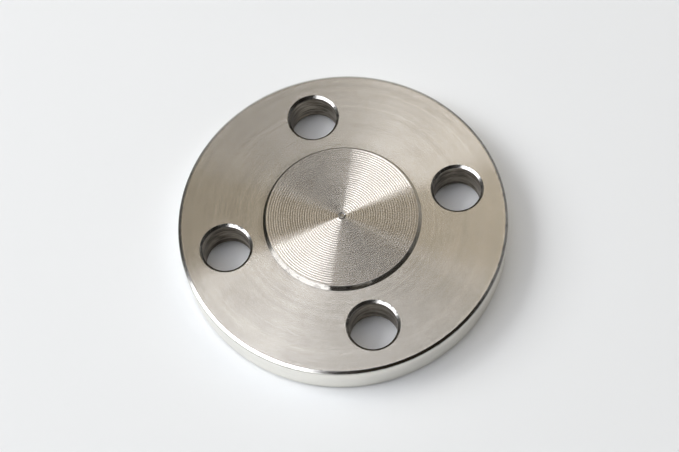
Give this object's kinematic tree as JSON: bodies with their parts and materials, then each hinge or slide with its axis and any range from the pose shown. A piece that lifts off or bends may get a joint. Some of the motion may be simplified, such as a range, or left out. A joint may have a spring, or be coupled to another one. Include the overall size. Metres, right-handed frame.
{
  "type": "raised-face blind flange",
  "caption": "Round steel blind flange that closes a pipe end, with bolt holes round its rim and a grooved raised gasket face on the front.",
  "frame": {"origin": "centre of the flat back face, on the flange's axis", "axes": "+Z along the axis, from the back face towards the raised gasket face; +X and +Y pass midway between bolt holes"},
  "size_m": [0.11, 0.11, 0.0143],
  "materials": {
    "turned_steel": "lathe-turned satin steel with fine concentric tool marks"
  },
  "bodies": {
    "root": {"blind_flange": "turned_steel"}
  },
  "joints": []
}
